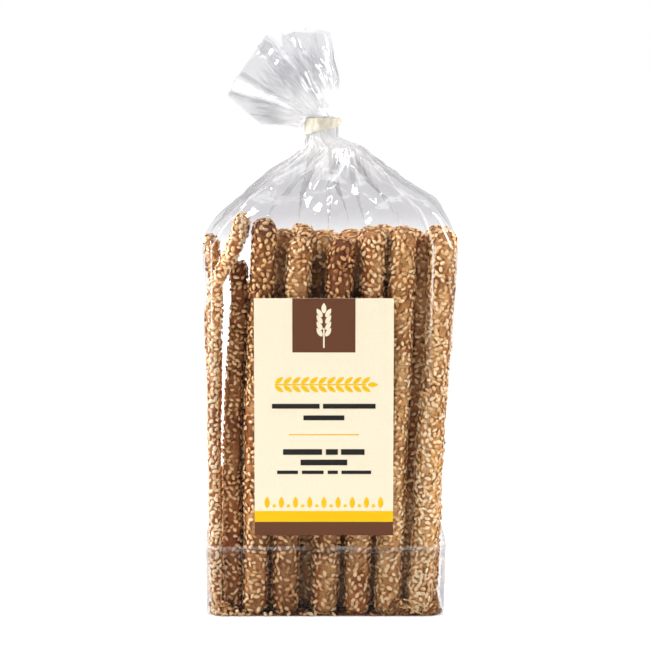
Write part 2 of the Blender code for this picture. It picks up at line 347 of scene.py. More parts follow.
def seed_places(stick, tree_of_stick):
    """Where this stick's seen seeds sit: for each, a point, a normal, and the stick's tone there, which is partly
    baking and partly painted shade.
    """
    centre_seed = Vector((stick["seed"], 0, 0))
    cover = stick["cover"] + 0.2 * noise.random()
    spacing = SEED_SPACING * (0.84 if cover > THICKLY else 1 if stick["foot"].y < 0 else 1.07)
    foot_bake_and_shade, head_bake_and_shade = stick["bake_and_shade"]
    past_short = PAST_SHORT[0] < stick["head"].x / MM < PAST_SHORT[1]
    top_seen = PAST_SHORT_SEEN if past_short else TOP_SEEN
    spots = []
    cells = {}
    for _ in range(TRIES_PER_STICK):
        height = rng.uniform(-0.03, 1.03) * stick["length"]
        angle = rng.uniform(0, 2 * math.pi)
        inside = min(max(height, 2.5 * MM), stick["length"] - 2.5 * MM)
        middle = stick_centre(stick, inside)
        out = Vector((math.cos(angle), math.sin(angle), 0))
        start = middle + out * 15 * MM + Vector((0, 0, (height - inside) * 3.2))
        place, normal, _, _ = tree_of_stick.ray_cast(start, (middle - start).normalized())
        if place is None:
            continue
        depth, film_way = depth_under_film(place)
        near_head = stick["length"] - (place.z - STICK_FOOT) < top_seen
        seen = 1 - (depth - SEEN_DEPTH[0]) / (SEEN_DEPTH[1] - SEEN_DEPTH[0])
        hidden = stick["radius"] > 4 * MM and normal.dot(film_way) < FACING_IN
        if not near_head and (hidden or rng.random() > seen):
            continue
        patch = noise.noise(place * 120 + centre_seed) * 0.9 + noise.noise(place * 45 + centre_seed) * 0.8
        if rng.random() > cover + patch:
            continue
        cell = tuple(int(value // SEED_SPACING) for value in place)
        close = any(
            (other - place).length < spacing
            for dx in (-1, 0, 1) for dy in (-1, 0, 1) for dz in (-1, 0, 1)
            for other in cells.get((cell[0] + dx, cell[1] + dy, cell[2] + dz), ())
        )
        if close:
            continue
        cells.setdefault(cell, []).append(place)
        spots.append((place, normal, foot_bake_and_shade + (head_bake_and_shade - foot_bake_and_shade) * inside / stick["length"]))
    return spots


def inside_film(corners):
    """The corners of many small pieces; a piece that reaches past the base, front or back film is moved in."""
    corners[:, :, 2] += np.maximum(0, LOWEST - corners[:, :, 2].min(1))[:, None]
    corners[:, :, 1] += np.maximum(0, FRONT_LIMIT - corners[:, :, 1].min(1))[:, None]
    corners[:, :, 1] -= np.maximum(0, corners[:, :, 1].max(1) - BACK_LIMIT)[:, None]
    return corners


def join_seeds(name, spots, shape, faces):
    """One mesh that holds a turned and slightly resized copy of the seed at each spot."""
    corners = np.empty((len(spots), len(shape), 3))
    toast_and_shade = np.empty((len(spots), 1))
    for index, (place, normal, bake_and_shade) in enumerate(spots):
        side = normal.orthogonal().normalized()
        turn = rng.uniform(0, 2 * math.pi)
        along = (side * math.cos(turn) + normal.cross(side) * math.sin(turn)).normalized()
        up = (normal + along * rng.uniform(-0.35, 0.35) + normal.cross(along) * rng.uniform(-0.3, 0.3)).normalized()
        along = (along - up * along.dot(up)).normalized()
        across = up.cross(along)
        axes = np.array([along, across, up]) * rng.uniform(0.84, 1.12)
        middle = place + normal * (SEED_THICKNESS / 2 - SEED_SUNK + rng.uniform(0, 0.12) * MM)
        corners[index] = shape @ axes + np.array(middle)
        toast_and_shade[index] = rng.random() ** 1.5 + 0.65 * bake_and_shade
    corners = inside_film(corners)
    made = bpy.data.meshes.new(name)
    offsets = [[corner + index * len(shape) for corner in face] for index in range(len(spots)) for face in faces]
    made.from_pydata(corners.reshape(-1, 3), [], offsets)
    made.shade_smooth()
    # Painted shade: each seed is darker round its rim, where it meets the crust, on top of its toasted colour.
    rim = np.clip(0.5 - shape[:, 2] / SEED_THICKNESS, 0, 1)
    browned_and_shaded = made.attributes.new("browned_and_shaded", "FLOAT", "POINT")
    browned_and_shaded.data.foreach_set("value", (toast_and_shade * 0.55 + rim * 0.8).reshape(-1).astype(np.float32))
    piece = bpy.data.objects.new(name, made)
    bpy.context.scene.collection.objects.link(piece)
    return piece


noise.seed_set(5)
shape, faces = make_seed()
sides = {"front_left": [], "front_right": [], "back": [], "left": [], "right": []}
for stick in sticks:
    for place, normal, bake_and_shade in seed_places(
            stick, BVHTree.FromObject(stick["piece"], bpy.context.evaluated_depsgraph_get())):
        if place.y < -17 * MM:
            side = "front_left" if place.x < 0 else "front_right"
        elif place.y > 17 * MM:
            side = "back"
        else:
            side = "left" if place.x < 0 else "right"
        sides[side].append((place, normal, bake_and_shade))

# Toasted sesame hull: smooth and a little waxy, cream to straw, some seeds browner than the rest. Each one is browner
# round its rim, partly from toasting and partly painted shade where it meets the crust, and seeds are darker on sticks
# that carry painted shade.
sesame, tree = new_material("toasted_sesame_hull")
coords = node(tree, "TexCoord").outputs["Object"]
browned_and_shaded = node(tree, "Attribute", attribute_name="browned_and_shaded").outputs["Fac"]
tint = ramp(tree, browned_and_shaded, [(0.1, "#fce4ba"), (0.35, "#f4cc96"), (0.62, "#e0ab6e"), (0.95, "#a46b36")])
skin = node(tree, "TexNoise", {"Vector": coords, "Scale": 2600.0, "Detail": 2.0}).outputs["Fac"]
bump = node(tree, "Bump", {"Height": skin, "Strength": 0.25, "Distance": 0.0002}).outputs["Normal"]
surface = node(tree, "BsdfPrincipled", {"Base Color": tint, "Normal": bump, "Roughness": 0.42, "IOR": 1.46})
node(tree, "OutputMaterial", {"Surface": surface.outputs["BSDF"]})
for side, spots in sides.items():
    piece = join_seeds(f"sesame_{side}", spots, shape, faces)
    piece.data.materials.append(sesame)
    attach(piece, "root")

# ---------------------------------------------------------------------------------------------
# The bag. Clear glossy polypropylene film, 0.03 mm thick, in a block-bottom gusset bag: four
# creased corners, a flat folded base, shoulders gathered into pleats by hand, and a stiff fanned
# tail above the tape. It is one tube of film, shaped ring by ring from the base to the mouth.
# ---------------------------------------------------------------------------------------------
FILM_SIDES = 512
FILM_ROWS = 192  # subdivided in two steps, since one step makes at most 101
BODY_END, SHOULDER_END, NECK_END = 0.26, 0.62, 0.67  # shares of the rows
BUNDLE_TOP = 169.0 * MM
BASE_HALF_WIDTH, BASE_SHIFT = 54.6 * MM, -2.2 * MM
FILM_Y = 0.35 * MM
SHOULDER_HEIGHT = 47.5 * MM
NECK_Z = BUNDLE_TOP + SHOULDER_HEIGHT
NECK_X, NECK_HALF_WIDTH, NECK_HALF_DEPTH, NECK_HEIGHT = -3.6 * MM, 6.7 * MM, 5.4 * MM, 9.5 * MM
NECK_LEAN = 5.0 * MM  # just below the tape the gathered film is this far to the right
NECK_GIRTH = 44 * MM
GIRTH = 2 * math.pi * CORNER + 4 * (HALF_WIDTH + HALF_DEPTH - 2 * CORNER)
FOLDS = 13
LAYER_GAP = 0.9 * MM
# The gusset creases: back right, back left, front left, front right, as shares of the way round from the
# middle of the right side. Each lies on a column of corners, so that it stays sharp.
GUSSET_CREASES = tuple(column / FILM_SIDES for column in (59, 207, 305, 453))
CREASE_HALF_WIDTH, CREASE_HEIGHT = 1.5 * MM, 0.8 * MM
CRUMPLE = 0.5
SHADED = 0.05
# The tail's mouth as seen from the front: x and z from the middle of the neck's top, in mm.
MOUTH = ((-28.3, -4.1), (-43.9, 9.7), (-42.6, 12.9), (-25.5, 37.3), (-17.7, 31.7), (-17.3, 39.3), (-12.0, 40.5),
         (-4.2, 39.4), (3.2, 37.8))
TAIL_HALF_DEPTH = 9.0 * MM
TAIL_SAG = 6.0 * MM


def smoothstep(value):
    value = np.clip(value, 0, 1)
    return value * value * (3 - 2 * value)


def rounded_outline(share, half_width):
    """Points this share of the way round the bag's outline, from the middle of the right side, and normals."""
    front, side = half_width - CORNER, HALF_DEPTH - CORNER
    arc = math.pi / 2 * CORNER
    runs = np.array([side, arc, 2 * front, arc, 2 * side, arc, 2 * front, arc, side])
    starts = np.concatenate([[0], np.cumsum(runs)])
    along = np.mod(share, 1.0) * starts[-1]
    run = np.clip(np.searchsorted(starts, along, side="right") - 1, 0, 8)
    past = along - starts[run]
    turn = run // 2 * math.pi / 2 + np.where(run % 2 == 1, past / CORNER, 0)
    normal = np.stack([np.cos(turn), np.sin(turn)], 1)
    corner_x = np.array([front, -front, -front, front, front])[run // 2]
    corner_y = np.array([side, side, -side, -side, side])[run // 2]
    first = np.array([[half_width, 0], [front, HALF_DEPTH], [-half_width, side], [-front, -HALF_DEPTH],
                      [half_width, -side]])[run // 2]
    straight = first + np.stack([-normal[:, 1], normal[:, 0]], 1) * past[:, None]
    curved = np.stack([corner_x, corner_y], 1) + normal * CORNER
    return np.where((run % 2 == 1)[:, None], curved, straight), normal


def zigzag(phase):
    """A triangle wave from -1 to 1, one fold for each whole number."""
    return 4 * np.abs(np.mod(phase, 1.0) - 0.5) - 1


def crumple(places, size, seed):
    """Flat facets of about this size between crisp creases, from about -size / 2 to size / 2: the difference
    between the squared distances to the nearest of two sets of random points."""
    low, high = places.min(0) - size, places.max(0) + size
    count = int(np.prod((high - low) / size) * 1.0) + 2
    rng = np.random.default_rng(seed)
    nearest = []
    for _ in range(2):
        tree_of_points = kdtree.KDTree(count)
        for index, point in enumerate(rng.uniform(low, high, (count, 3))):
            tree_of_points.insert(point, index)
        tree_of_points.balance()
        nearest.append(np.array([tree_of_points.find(place)[2] for place in places]))
    return (nearest[0] ** 2 - nearest[1] ** 2) / size


fold_rng = np.random.default_rng(6)
widths = fold_rng.uniform(0.6, 1.5, FOLDS)
knots = np.concatenate([[0], np.cumsum(widths) / widths.sum()])


def knife_fold(share, gather):
    """Where film this share of the way round ends up once it is pleated: its share of the gathered girth, its
    layer, from -1 inside to 1 outside, and the pleat. Each pleat runs forward, then doubles back under itself;
    gather is how many times longer the film is than the girth that it goes round."""
    cell = np.clip(np.searchsorted(knots, share, side="right") - 1, 0, FOLDS - 1)
    start, width = knots[cell], (knots[1:] - knots[:-1])[cell]
    along = (share - start) / width
    turn = (gather + 1) / (2 * gather)
    forward = along < turn
    place = np.where(forward, gather * along, gather * (2 * turn - along))
    layer = np.where(forward, 2 * along / turn - 1, 1 - 2 * (along - turn) / np.maximum(1 - turn, 1e-6))
    return start + width * place, layer, cell, ~forward


def film_places(share, rise):
    """Where the film is, for arrays of the share of the way round and up."""
    places = np.zeros((len(share), 3))
    body = np.clip(rise / BODY_END, 0, 1)
    drawn = np.clip((rise - BODY_END) / (SHOULDER_END - BODY_END), 0, 1)
    in_neck = np.clip((rise - SHOULDER_END) / (NECK_END - SHOULDER_END), 0, 1)
    out = np.clip((rise - NECK_END) / (1 - NECK_END), 0, 1)
    inward = drawn ** 1.25
    # How many times round
    girth = GIRTH * (1 - inward) + NECK_GIRTH * inward
    mouth_girth = 165 * MM
    girth = np.where(out > 0, NECK_GIRTH + (mouth_girth - NECK_GIRTH) * out ** 0.8, girth)
    gather = np.maximum(GIRTH / girth, 1.0)
    gather = np.minimum(1 + (gather - 1) * 0.7, 3.2)
    round_share, layer, cell, under = knife_fold(share, gather)
    angle = 2 * math.pi * round_share
    top, top_normal = rounded_outline(round_share, HALF_WIDTH)
    low, low_normal = rounded_outline(round_share, BASE_HALF_WIDTH)
    outline = low + (top - low) * body[:, None]
    flute = 0.5 * MM * (1 - np.cos(angle * 22)) / 2
    outline -= top_normal * flute[:, None]
    for crease in GUSSET_CREASES:
        near = np.clip(1 - np.abs(share - crease) * GIRTH / CREASE_HALF_WIDTH, 0, 1)
        outline += top_normal * (near * CREASE_HEIGHT * (1 - smoothstep(drawn * 4)))[:, None]
    bend = 1 - (1 - np.clip(inward / 0.20, 0, 1)) ** 2
    bulging = 0.155 + 0.075 * np.cos(angle)
    lift = bulging * bend + (1 - bulging) * inward
    lean = NECK_LEAN * smoothstep((inward - 0.3) / 0.5) * (1 - smoothstep((inward - 0.86) / 0.14))
    neck = np.stack([NECK_X + lean + NECK_HALF_WIDTH * np.cos(angle), NECK_HALF_DEPTH * np.sin(angle)], 1)
    shoulder = outline + (neck - outline) * inward[:, None]
    outward = np.stack([np.cos(angle), np.sin(angle)], 1) * inward[:, None] + top_normal * (1 - inward)[:, None]
    gap = LAYER_GAP * smoothstep(inward * 3) * (1 - 0.4 * inward) * (0.6 + 0.8 * fold_rng.permutation(FOLDS)[cell] / FOLDS)
    fine = zigzag(share * 66 + 0.6 * np.sin(9 * angle)) * MM * smoothstep((inward - 0.5) / 0.45) * (1 - 0.4 * inward)
    shoulder += outward * (gap * layer + fine)[:, None]
    places[:, 0] = shoulder[:, 0] + BASE_SHIFT * (1 - body)
    places[:, 1] = shoulder[:, 1]
    slack = np.sin(5 * angle) * np.cos(angle) ** 2 * 2 * MM  # the sides' film turns in at no one level
    places[:, 2] = body * (BUNDLE_TOP + slack * (1 - inward)) + SHOULDER_HEIGHT * lift + NECK_HEIGHT * in_neck
    # Tail
    mouth = np.array(MOUTH) * MM
    lengths = np.linalg.norm(np.diff(mouth, axis=0), axis=1)
    stops = np.concatenate([[0], np.cumsum(lengths)]) / lengths.sum()
    across = (1 - np.cos(angle)) / 2  # 0 at the right edge, 1 at the left
    across = 1 - across
    rim_x, rim_z = np.interp(across, stops, mouth[:, 0]), np.interp(across, stops, mouth[:, 1])
    side = np.sin(angle)
    rim_y = np.sign(side) * np.abs(side) ** 0.6 * TAIL_HALF_DEPTH * 0.6
    # each pleat's edge of the mouth lies a little higher or lower
    longer = 1 - 0.05 * fold_rng.permutation(FOLDS)[cell] / FOLDS
    spread = np.stack([NECK_X + rim_x * longer, rim_y, NECK_Z + NECK_HEIGHT + rim_z * longer], 1)
    bulge = np.sin(math.pi * out) * 3.0 * MM
    in_tail = out > 0
    opened = places + (spread - places) * out[:, None]
    opened[:, 0] += bulge * np.cos(angle) * 0.8
    opened[:, 1] += np.sin(angle) * bulge + layer * np.sin(math.pi * np.clip(out, 0, 0.75)) * 1.8 * MM
    fine_tail = zigzag(share * 66 + 0.6 * np.sin(9 * angle)) * 1.0 * MM * smoothstep(1 - out / 0.45)
    opened[:, 1] += fine_tail
    # The left edge hangs over the tape's end before it fans out.
    opened[:, 2] -= TAIL_SAG * np.maximum(-np.cos(angle), 0) ** 5 * smoothstep(out * 7) * (1 - out) ** 1.5
    places[in_tail] = opened[in_tail]
    places[:, 1] += FILM_Y
    # crumple
    free = smoothstep(inward * 6) * (1 - smoothstep(inward * 3 - 2)) + smoothstep(out * 5) * 0.8
    free = free * (1 - 0.7 * np.abs(np.cos(angle)) ** 2)
    away = np.stack([outward[:, 0], outward[:, 1], np.full(len(share), 0.6)], 1)
    moving = free > 0
    dents = 0.5 * crumple(places[moving], 16 * MM, 3) + 0.4 * crumple(places[moving], 8 * MM, 5)
    places[moving] += (away * free[:, None])[moving] * dents[:, None] * CRUMPLE
    streak = fold_rng.uniform(0, 1, FILM_SIDES)[np.round(share * FILM_SIDES).astype(int) % FILM_SIDES]
    reach = 0.35 + 0.5 * fold_rng.uniform(0, 1, FILM_SIDES)[np.round(share * FILM_SIDES).astype(int) % FILM_SIDES]
    haze_and_glint = smoothstep((inward - reach) / 0.3) * (0.3 + 0.7 * streak) * (1 - 0.5 * np.abs(np.cos(angle)))
    haze_and_glint = np.where(in_tail, (0.3 + 0.7 * streak) * (1 - smoothstep(out / (1.3 - reach))), haze_and_glint)
    haze_and_glint = np.maximum(haze_and_glint, 0.45 * under)
    # Painted highlight: a white line down each gusset crease, brightest near the top of the body.
    crest = np.min([np.abs(share - crease) for crease in GUSSET_CREASES], axis=0) < 0.5 / FILM_SIDES
    crest_highlight = 0.2 + 0.3 * smoothstep((rise - 0.12) / 0.1) + 1.1 * smoothstep((rise - 0.19) / 0.04)
    haze_and_glint = np.maximum(haze_and_glint, crest_highlight * crest * (out <= 0) * (1 - 0.6 * smoothstep(drawn * 4)))
    # Painted highlight: a white band across the front layer of the tail's left flap.
    tail_highlight = np.exp(-((across - 0.30) / 0.028) ** 2) * (side < 0) * in_tail * smoothstep(out * 3)
    haze_and_glint = np.maximum(haze_and_glint, 1.9 * tail_highlight)
    # Painted reflection: the film down the body's left and right sides is whiter.
    side_reflection = smoothstep((np.abs(np.cos(2 * math.pi * share)) - 0.8) / 0.15) * (drawn <= 0)
    haze_and_glint = np.maximum(haze_and_glint, 0.16 * side_reflection)
    # Gathered film is seen through more folds than the mesh has, so it takes a little more light.
    haze_and_glint = np.maximum(haze_and_glint, SHADED * smoothstep(inward * 8) * (out <= 0))
    return places, haze_and_glint


deselect_all()
bpy.ops.mesh.primitive_cylinder_add(vertices=FILM_SIDES, radius=1, depth=1, end_fill_type="NOTHING", location=(0, 0, 0.5))
film = bpy.context.object
film.name = film.data.name = "film_bag"
bpy.ops.object.transform_apply(location=True)
bpy.ops.object.mode_set(mode="EDIT")
bpy.ops.mesh.select_mode(type="EDGE")
select_edges(film, lambda one, other: abs(one.z - other.z) > 0.5)
bpy.ops.mesh.subdivide(number_cuts=FILM_ROWS // 2 - 1)
select_edges(film, lambda one, other: abs(one.z - other.z) > 0.5 / FILM_ROWS)
bpy.ops.mesh.subdivide(number_cuts=1)
bpy.ops.object.mode_set(mode="OBJECT")
corners = np.empty(len(film.data.vertices) * 3)
film.data.vertices.foreach_get("co", corners)
corners = corners.reshape(-1, 3)
share = np.mod(np.arctan2(corners[:, 1], corners[:, 0]) / (2 * math.pi), 1.0)
share = np.round(share * FILM_SIDES) / FILM_SIDES % 1.0
rise = corners[:, 2]
places, haze_and_glint = film_places(share, rise)
haze_and_highlight = film.data.attributes.new("haze_and_highlight", "FLOAT", "POINT")
haze_and_highlight.data.foreach_set("value", haze_and_glint.astype(np.float32))

film.data.vertices.foreach_set("co", places.reshape(-1))
activate(film)
bpy.ops.object.shade_smooth_by_angle(angle=math.radians(35))
film.data.update()

# Polypropylene film: quite clear, very glossy; what it shows is mostly what it mirrors.
clear, tree = new_material("glossy_polypropylene_film")
facing = node(tree, "LayerWeight", {"Blend": 0.5}).outputs["Facing"]
edge = node(tree, "Math", {0: facing, 1: 5.0}, operation="POWER").outputs["Value"]
mirror = node(tree, "MapRange", {"Value": edge, "To Min": 0.05, "To Max": 0.6}).outputs["Result"]
# Where the attribute is high, the film is whiter and hazier. This is the real haze of gathered and creased film, plus
# painted highlights and reflections on the creases, the tail's flap, the sides and the base's sealed edge.
haze_and_glint = node(tree, "Attribute", attribute_name="haze_and_highlight").outputs["Fac"]
tint = ramp(tree, haze_and_glint, ((0.0, "#f8f8f9"), (SHADED, "#e5e5e7"), (0.12, "#eeeeef"), (0.4, "#fefefe")))
whitening = node(tree, "MapRange", {"Value": haze_and_glint, "From Max": 2.0, "To Min": 0.004, "To Max": 0.62}).outputs["Result"]
through = node(tree, "BsdfTransparent", {"Color": tint}).outputs["BSDF"]
haze = node(tree, "BsdfDiffuse", {"Color": linear("#f8f8f9")}).outputs["BSDF"]
coords = node(tree, "TexCoord").outputs["Object"]
ripple = node(tree, "TexNoise", {"Vector": coords, "Scale": 70.0, "Detail": 2.0}).outputs["Fac"]
dent = node(tree, "Bump", {"Height": ripple, "Strength": 0.25, "Distance": 0.002}).outputs["Normal"]
shine = node(tree, "BsdfGlossy", {"Color": linear("#ffffff"), "Roughness": 0.06, "Normal": dent}).outputs["BSDF"]
inner = node(tree, "MixShader", {0: whitening, 1: through, 2: haze}).outputs["Shader"]
whole = node(tree, "MixShader", {0: mirror, 1: inner, 2: shine}).outputs["Shader"]
node(tree, "OutputMaterial", {"Surface": whole})
film.data.materials.clear()
film.data.materials.append(clear)
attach(film, "root")
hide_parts("bag")

# ---------------------------------------------------------------------------------------------
# Crumbs. Broken crust, seeds that have rubbed off and a few bran fibres lie on the bag's base, in
# heaps at its front corners and thinly elsewhere. A rough, dark bed of fine crumbs carries them. It is
# partly crumbs and partly painted shade on the base between the sticks' feet.
# ---------------------------------------------------------------------------------------------
BED_COLUMNS, BED_ROWS = 120, 64
BED_INSET = 1.6 * MM
BED_DEPTH, RIM_DEPTH = 0.7, 0.25  # mm
LOOSE_SEEDS, LOOSE_CRUMBS = 900, 800
IN_HEAPS = 0.85  # of the seeds and crumbs
LOOSE_SPACING = 1.5 * MM
NEAR_FRONT, PRESSED = 24.0 * MM, 0.6  # past this y, this share of the loose seeds is pressed to the front film
# The heaps: x, y, spread and height, in mm, and the shares of the heaped crumbs and seeds that each has.
HEAPS = ((-51.0, -27.0, 7.0, 5.5, 0.3, 0.9), (30.5, -27.0, 4.6, 6.5, 0.4, 0.06), (46.0, -27.0, 4.0, 4.0, 0.3, 0.04))
CRUMB_SHARES, SEED_SHARES = [heap[4] for heap in HEAPS], [heap[5] for heap in HEAPS]
bed_x, bed_y, bed_round = BASE_HALF_WIDTH - BED_INSET, HALF_DEPTH - BED_INSET, CORNER - BED_INSET


def on_base(u, v):
    """A place on the base for u and v from -1 to 1, kept inside its rounded corners."""
    x, y = u * bed_x, v * bed_y
    past_x, past_y = abs(x) - (bed_x - bed_round), abs(y) - (bed_y - bed_round)
    if past_x > 0 and past_y > 0:
        pull = min(1.0, bed_round / math.hypot(past_x, past_y))
        x = math.copysign(bed_x - bed_round + past_x * pull, x)
        y = math.copysign(bed_y - bed_round + past_y * pull, y)
    return Vector((x + BASE_SHIFT, y + FILM_Y, 0))


def crumb_depth(place):
    """How deep the crumbs lie at this place on the base."""
    depth = BED_DEPTH
    for x, y, spread, height, _, _ in HEAPS:
        away = math.hypot(place.x / MM - x, place.y / MM - y) / spread
        depth += height * math.exp(-away * away)
    return depth * MM


def folded_back(value):
    """A number past -1 or 1 is turned back inside."""
    return value if abs(value) <= 1 else math.copysign(max(0.0, 2 - abs(value)), value)


def fallen_place(shares):
    """Where something that fell comes to lie: mostly on a heap, else near the front or back edge."""
    if scatter.random() < IN_HEAPS:
        x, y, spread, _, _, _ = HEAPS[scatter.choice(len(HEAPS), p=shares)]
        u = ((x + scatter.normal(0, 0.6) * spread) * MM - BASE_SHIFT) / bed_x
        v = (y + scatter.normal(0, 0.6) * spread) * MM / bed_y
    else:
        u, v = scatter.uniform(-1, 1), 1 - abs(scatter.normal(0, 0.3))
        v = v if scatter.random() < 0.4 else -v
    place = on_base(folded_back(u), folded_back(v))
    return place + Vector((0, 0, crumb_depth(place)))


# The bed is partly crumbs and partly painted shade: a dark layer over the base between the sticks' feet.
deselect_all()
bpy.ops.mesh.primitive_grid_add(x_subdivisions=BED_COLUMNS, y_subdivisions=BED_ROWS, size=2)
bed = bpy.context.object
bed.name = bed.data.name = "crumb_bed_and_painted_shade"
for corner in bed.data.vertices:
    rim = max(abs(corner.co.x), abs(corner.co.y))
    place = on_base(corner.co.x, corner.co.y)
    rough = noise.noise(place * 900) * 0.35 + noise.noise(place * 300) * 0.3
    corner.co = place + Vector((0, 0, RIM_DEPTH * MM if rim > 0.99 else crumb_depth(place) + rough * MM))
bed.data.shade_smooth()
bed.data.materials.clear()

deselect_all()
bpy.ops.mesh.primitive_ico_sphere_add(subdivisions=1, radius=1)
crumb = bpy.context.object
crumb_shape = np.array([corner.co for corner in crumb.data.vertices])
crumb_faces = [list(face.vertices) for face in crumb.data.polygons]
bpy.data.objects.remove(crumb)
scatter = np.random.default_rng(12)
corners = np.empty((LOOSE_CRUMBS, len(crumb_shape), 3))
for index in range(LOOSE_CRUMBS):
    size = scatter.uniform(0.3, 1.1) * MM
    ragged = crumb_shape * scatter.uniform(0.75, 1.2, (len(crumb_shape), 1))
    stretched = ragged * size * scatter.uniform(0.6, 1.2, 3)
    corners[index] = stretched + np.array(fallen_place(CRUMB_SHARES) + Vector((0, 0, size * 0.3)))
corners = inside_film(corners)
offsets = [[corner + index * len(crumb_shape) for corner in face] for index in range(LOOSE_CRUMBS)
           for face in crumb_faces]
crumbs = bpy.data.meshes.new("loose_crumbs")
crumbs.from_pydata(corners.reshape(-1, 3), [], offsets)
loose_crumbs = bpy.data.objects.new("loose_crumbs", crumbs)
bpy.context.scene.collection.objects.link(loose_crumbs)

spots = []
for _ in range(LOOSE_SEEDS):
    normal = Vector(scatter.normal(0, 0.5, 3)) + Vector((0, -0.4, 1))
    place = fallen_place(SEED_SHARES) + Vector((0, 0, scatter.uniform(-0.2, 1.0) * MM))
    if place.y < -NEAR_FRONT and place.x < 0 and scatter.random() < PRESSED:
        front = on_base((place.x - BASE_SHIFT) / bed_x, -1.0)
        place = front + Vector((0, 0.2 * MM, place.z * scatter.random()))
        normal = Vector(scatter.normal(0, 0.35, 3)) + Vector((0, -1, 0))
    if all((place - other).length > LOOSE_SPACING for other, _, _ in spots):
        spots.append((place, normal.normalized(), 0.0))
loose_seeds = join_seeds("loose_sesame", spots, shape, faces)
loose_seeds.data.materials.append(sesame)

# Crumbs of the same crust, painted darker to show the shade of the sticks they lie among.
crumb_crust_and_shade, tree = new_material("crust_crumbs_and_painted_shade")
coords = node(tree, "TexCoord").outputs["Object"]
flecks = node(tree, "TexNoise", {"Vector": coords, "Scale": 700.0, "Detail": 3.0}).outputs["Fac"]
tint = ramp(tree, flecks, [(0.35, "#5a3b20"), (0.5, "#9a683c"), (0.68, "#dcaa6c")])
bump = node(tree, "Bump", {"Height": flecks, "Strength": 0.8, "Distance": 0.0005}).outputs["Normal"]
surface = node(tree, "BsdfPrincipled", {"Base Color": tint, "Roughness": 0.85, "Normal": bump,
                                        "Specular IOR Level": 0.25})
node(tree, "OutputMaterial", {"Surface": surface.outputs["BSDF"]})
for piece in (bed, loose_crumbs):
    piece.data.materials.append(crumb_crust_and_shade)
for piece in (bed, loose_crumbs, loose_seeds):
    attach(piece, "root")

# Bran fibres: a few straw-thin strands caught between the feet of the last two sticks of the front row.
FIBRE_RADIUS = 0.28 * MM
fibres = []
for x, z, length, rise, curl in ((33.2, 8.4, 11.4, -0.31, 0.4), (34.3, 6.2, 7.6, -0.62, -0.5),
                                 (41.8, 1.8, 3.0, 1.8, 0.2), (31.6, 4.6, 6.4, -0.08, 0.3)):
    deselect_all()
    bpy.ops.mesh.primitive_cylinder_add(vertices=6, radius=FIBRE_RADIUS, depth=1, location=(0, 0, 0.5))
    fibre = bpy.context.object
    bpy.ops.object.transform_apply(location=True)
    bpy.ops.object.mode_set(mode="EDIT")
    bpy.ops.mesh.select_mode(type="EDGE")
    select_edges(fibre, lambda one, other: abs(one.z - other.z) > 0.5)
    bpy.ops.mesh.subdivide(number_cuts=10)
    bpy.ops.object.mode_set(mode="OBJECT")
    for corner in fibre.data.vertices:
        along = corner.co.z
        corner.co = Vector((
            x * MM + along * length * MM,
            -30.1 * MM + corner.co.y + math.sin(along * 5) * 0.15 * MM,
            z * MM + rise * along * length * MM + curl * math.sin(math.pi * along) * MM + corner.co.x,
        ))
    fibres.append(fibre)
deselect_all()
for fibre in fibres:
    fibre.select_set(True)
bpy.context.view_layer.objects.active = fibres[0]
bpy.ops.object.join()
bran_fibres = bpy.context.object
bran_fibres.name = bran_fibres.data.name = "bran_fibres"
bpy.ops.object.mode_set(mode="EDIT")
bpy.ops.mesh.select_all(action="SELECT")
bpy.ops.mesh.normals_make_consistent(inside=False)
bpy.ops.object.mode_set(mode="OBJECT")
bran_fibres.data.materials.clear()
straw, tree = new_material("wheat_straw")  # golden, with paler lengths
coords = node(tree, "TexCoord").outputs["Object"]
lengths = node(tree, "TexNoise", {"Vector": coords, "Scale": 300.0}).outputs["Fac"]
tint = ramp(tree, lengths, [(0.35, "#dcae6c"), (0.62, "#fae0a8")])
surface = node(tree, "BsdfPrincipled", {"Base Color": tint, "Roughness": 0.45, "IOR": 1.5})
node(tree, "OutputMaterial", {"Surface": surface.outputs["BSDF"]})
bran_fibres.data.materials.append(straw)
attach(bran_fibres, "root")

# The bag's base: the same film, its flaps folded under and up and sealed, so the lowest 33 mm are double.
FOLD_SIDES = 160
FOLD_TOP = 33.0 * MM
FOLD_OUT = 0.35 * MM
deselect_all()
bpy.ops.mesh.primitive_cylinder_add(vertices=FOLD_SIDES, radius=1, depth=1, end_fill_type="NGON", location=(0, 0, 0.5))
base = bpy.context.object
base.name = base.data.name = "film_base_fold"
bpy.ops.object.transform_apply(location=True)
bpy.ops.object.mode_set(mode="EDIT")
bpy.ops.mesh.select_mode(type="FACE")
bpy.ops.mesh.select_all(action="DESELECT")
bpy.ops.object.mode_set(mode="OBJECT")
for face in base.data.polygons:
    face.select = face.normal.z > 0.5
bpy.ops.object.mode_set(mode="EDIT")
bpy.ops.mesh.delete(type="FACE")
bpy.ops.mesh.select_mode(type="EDGE")
select_edges(base, lambda one, other: abs(one.z - other.z) > 0.5)
bpy.ops.mesh.subdivide(number_cuts=31)
bpy.ops.object.mode_set(mode="OBJECT")
corners = np.array([corner.co for corner in base.data.vertices])
share = np.mod(np.arctan2(corners[:, 1], corners[:, 0]) / (2 * math.pi), 1.0)
outline, normal = rounded_outline(share, BASE_HALF_WIDTH)
outline += normal * FOLD_OUT
spots = [Vector((x + BASE_SHIFT, y + FILM_Y, z * FOLD_TOP)) for (x, y), z in zip(outline, corners[:, 2])]
for corner, spot in zip(base.data.vertices, spots):
    edge = smoothstep(spot.z / FOLD_TOP * 6 - 5)
    droop = noise.noise(spot * 60) * 0.9 * MM
    corner.co = spot + Vector((0, 0, droop * edge)) + Vector((0, -0.3 * MM * edge if spot.y < 0 else 0, 0))


